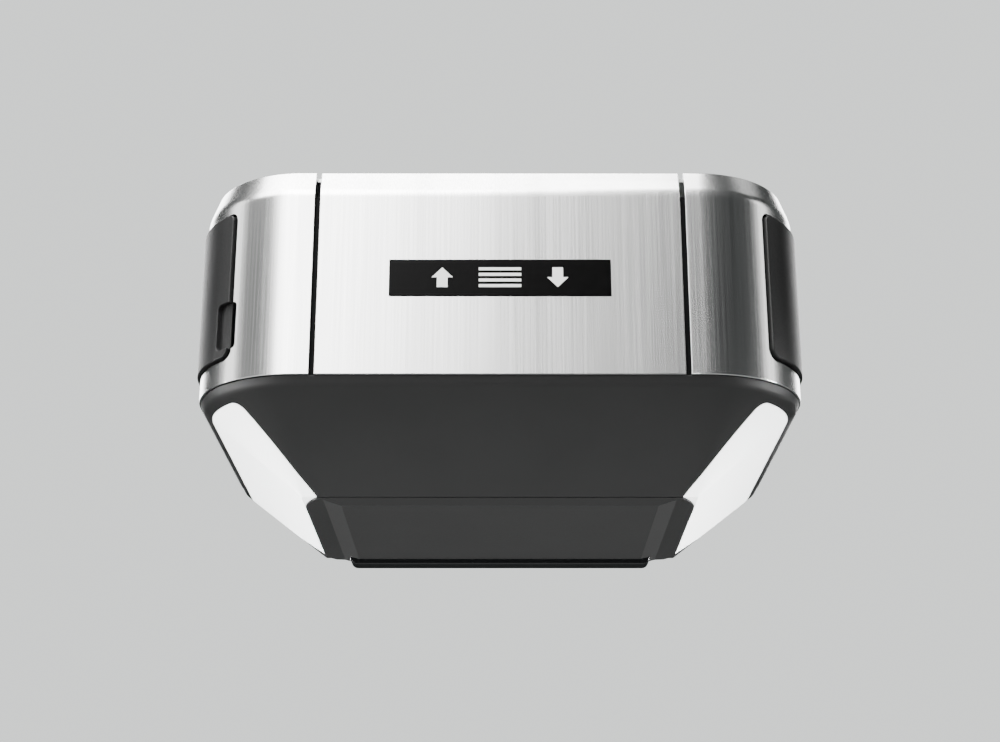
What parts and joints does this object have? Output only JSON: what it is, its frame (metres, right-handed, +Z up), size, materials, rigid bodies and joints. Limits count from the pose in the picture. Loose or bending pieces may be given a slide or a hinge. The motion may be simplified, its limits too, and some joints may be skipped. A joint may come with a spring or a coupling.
{
  "type": "garage door opener",
  "caption": "Ceiling-hung garage door opener head: brushed metal band, tapered dark hull with side light lenses, hinged battery door, worm drive and belt sprocket on top.",
  "frame": {"origin": "centre of the rail saddle's top face, where the door rail rests", "axes": "+X across the width, to the right when facing the front panel; +Y from the front panel to the rear panel; +Z up, out of the saddle face"},
  "size_m": [0.3276, 0.2434, 0.1982],
  "materials": {
    "band_steel": "brushed",
    "badge_black": "gloss",
    "frame_black": "moulded satin",
    "hull_charcoal": "fine satin grain",
    "tray_grey": "fine matt grain",
    "cover_grain": "coarse moulded grain",
    "lens_white": "frosted",
    "sensor_black": "gloss",
    "zinc_steel": "zinc plated",
    "gear_steel": "ground",
    "gear_nylon": "moulded",
    "sintered_bronze": "sintered",
    "copper_winding": "enamelled wire",
    "cast_aluminium": "as cast",
    "board_green": "solder mask",
    "part_grey": "moulded",
    "button_yellow": "moulded",
    "tab_white": "moulded",
    "tab_red": "moulded",
    "ferrite": "sintered",
    "lamination": "stacked sheet"
  },
  "bodies": {
    "housing": {"front_panel": "band_steel", "wrap_left": "band_steel", "wrap_right": "band_steel", "badge_plate": "badge_black", "inner_frame": "frame_black", "door_hinge_pin": "zinc_steel", "side_cover": "cover_grain", "rear_panel": "tray_grey", "belly_cover": "hull_charcoal", "bottom_tray": "tray_grey", "sensor_window": "sensor_black", "lens_left": "lens_white", "lens_right": "lens_white", "led_board_left": "board_green", "led_board_right": "board_green", "chassis_plate": "zinc_steel", "rail_saddle": "zinc_steel", "hanger_bracket_left": "zinc_steel", "hanger_bracket_right": "zinc_steel", "gearbox_case": "cast_aluminium", "gearbox_lid": "cast_aluminium", "output_bush_upper": "sintered_bronze", "output_bush_lower": "sintered_bronze", "sprocket_cover": "frame_black", "worm_bearing_inner": "gear_steel", "worm_bearing_outer": "gear_steel", "motor_bearing": "gear_steel", "motor_can": "zinc_steel", "motor_end_cap": "cast_aluminium", "motor_magnet_upper": "ferrite", "motor_magnet_lower": "ferrite", "rpm_sensor_board": "board_green", "travel_module_case": "frame_black", "logic_board": "board_green", "relay_up": "part_grey", "relay_down": "part_grey", "capacitor": "part_grey", "terminal_block": "part_grey", "transformer": "lamination", "battery": "part_grey", "battery_tray": "frame_black", "cord_gland": "frame_black"},
    "battery_door": {"battery_door": "cover_grain"},
    "motor_shaft": {"worm_shaft": "gear_steel", "motor_rotor": "copper_winding", "rpm_wheel": "frame_black"},
    "output": {"output_shaft": "gear_steel", "worm_wheel": "gear_nylon", "sprocket": "gear_steel", "sprocket_clip": "gear_steel", "travel_pinion": "gear_nylon"},
    "travel_sensor_gear": {"travel_gear": "gear_nylon"},
    "up_button": {"up_button": "part_grey"},
    "adjust_button": {"adjust_button": "part_grey"},
    "down_button": {"down_button": "part_grey"},
    "learn_button": {"learn_button": "button_yellow"},
    "terminal_tab_1": {"terminal_tab_1": "tab_red"},
    "terminal_tab_2": {"terminal_tab_2": "tab_white"},
    "terminal_tab_3": {"terminal_tab_3": "tab_white"},
    "terminal_tab_4": {"terminal_tab_4": "part_grey"}
  },
  "joints": [
    {"name": "battery_door_hinge", "type": "hinge", "parent": "housing", "child": "battery_door", "pos_m": [-0.1578, 0.044, -0.06935], "axis": [0, 0, -1], "range_deg": [0, 95]},
    {"name": "motor_spin", "type": "hinge", "parent": "housing", "child": "motor_shaft", "pos_m": [0, -0.023, -0.0466], "axis": [1, 0, 0], "continuous": true},
    {"name": "output_spin", "type": "hinge", "parent": "housing", "child": "output", "pos_m": [0, -0.055, -0.0466], "axis": [0, 0, 1], "continuous": true},
    {"name": "travel_gear_spin", "type": "hinge", "parent": "housing", "child": "travel_sensor_gear", "pos_m": [0, -0.0792, -0.066], "axis": [0, 0, 1], "continuous": true},
    {"name": "up_button_press", "type": "slide", "parent": "housing", "child": "up_button", "axis": [0, -1, 0], "range_m": [0, 0.0012], "stiffness_N_per_m": 600},
    {"name": "adjust_button_press", "type": "slide", "parent": "housing", "child": "adjust_button", "axis": [0, -1, 0], "range_m": [0, 0.0012], "stiffness_N_per_m": 600},
    {"name": "down_button_press", "type": "slide", "parent": "housing", "child": "down_button", "axis": [0, -1, 0], "range_m": [0, 0.0012], "stiffness_N_per_m": 600},
    {"name": "learn_button_press", "type": "slide", "parent": "housing", "child": "learn_button", "axis": [0, -1, 0], "range_m": [0, 0.0012], "stiffness_N_per_m": 600},
    {"name": "terminal_tab_1_press", "type": "slide", "parent": "housing", "child": "terminal_tab_1", "axis": [0, -1, 0], "range_m": [0, 0.002], "stiffness_N_per_m": 800},
    {"name": "terminal_tab_2_press", "type": "slide", "parent": "housing", "child": "terminal_tab_2", "axis": [0, -1, 0], "range_m": [0, 0.002], "stiffness_N_per_m": 800},
    {"name": "terminal_tab_3_press", "type": "slide", "parent": "housing", "child": "terminal_tab_3", "axis": [0, -1, 0], "range_m": [0, 0.002], "stiffness_N_per_m": 800},
    {"name": "terminal_tab_4_press", "type": "slide", "parent": "housing", "child": "terminal_tab_4", "axis": [0, -1, 0], "range_m": [0, 0.002], "stiffness_N_per_m": 800}
  ],
  "couplings": [
    {"joint": "output_spin", "follows": "motor_spin", "ratio": 0.03125},
    {"joint": "travel_gear_spin", "follows": "motor_spin", "ratio": -0.03125}
  ]
}
